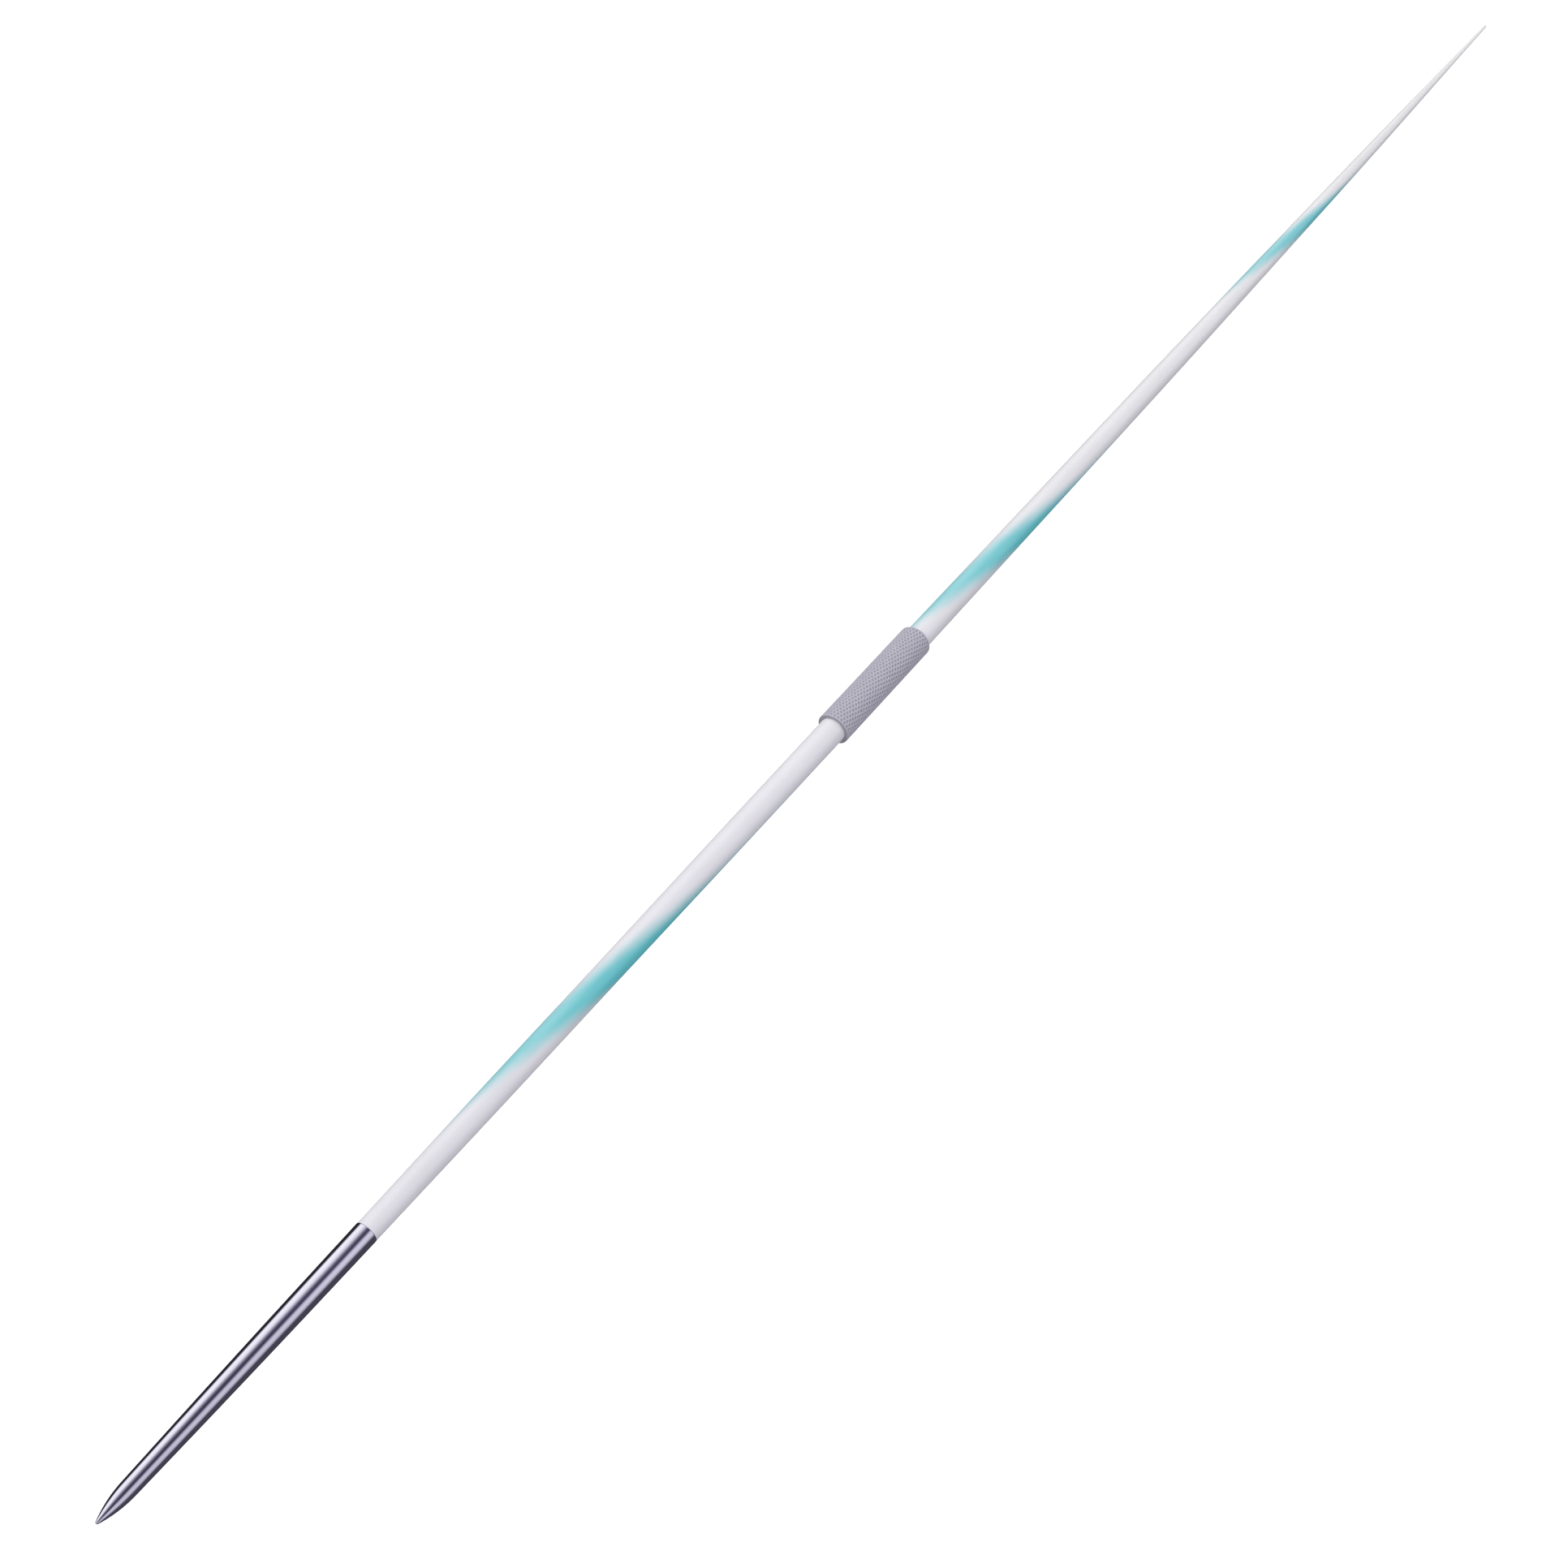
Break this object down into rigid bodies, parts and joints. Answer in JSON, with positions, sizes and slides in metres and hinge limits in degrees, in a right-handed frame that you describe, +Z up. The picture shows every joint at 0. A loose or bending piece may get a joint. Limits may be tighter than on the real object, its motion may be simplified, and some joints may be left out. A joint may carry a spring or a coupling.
{
  "type": "javelin",
  "caption": "Competition javelin: pointed polished steel head, slender tapered white shaft with a winding turquoise stripe, and a textured grey grip at its balance point.",
  "frame": {"origin": "balance point: on the javelin's axis, in the middle of the grip's length", "axes": "+X along the javelin's axis, from the nose towards the tail; +Z up, +Y to the side; the javelin is round, so Y and Z are alike but for the painted stripe"},
  "size_m": [2.63, 0.0352, 0.0352],
  "materials": {
    "polished_steel": "polished",
    "plain_steel": "satin",
    "shaft_lacquer": "gloss",
    "plain_aluminium": "satin",
    "tape_cloth": "matte",
    "grip_rubber": "matte"
  },
  "bodies": {
    "root": {"head_tip": "polished_steel", "head_shell": "polished_steel", "balance_slug": "plain_steel", "front_shaft": "shaft_lacquer", "joint_sleeve": "plain_aluminium", "rear_shaft": "shaft_lacquer", "grip_tape": "tape_cloth", "grip_sleeve": "grip_rubber", "tail_tip": "shaft_lacquer"}
  },
  "joints": []
}
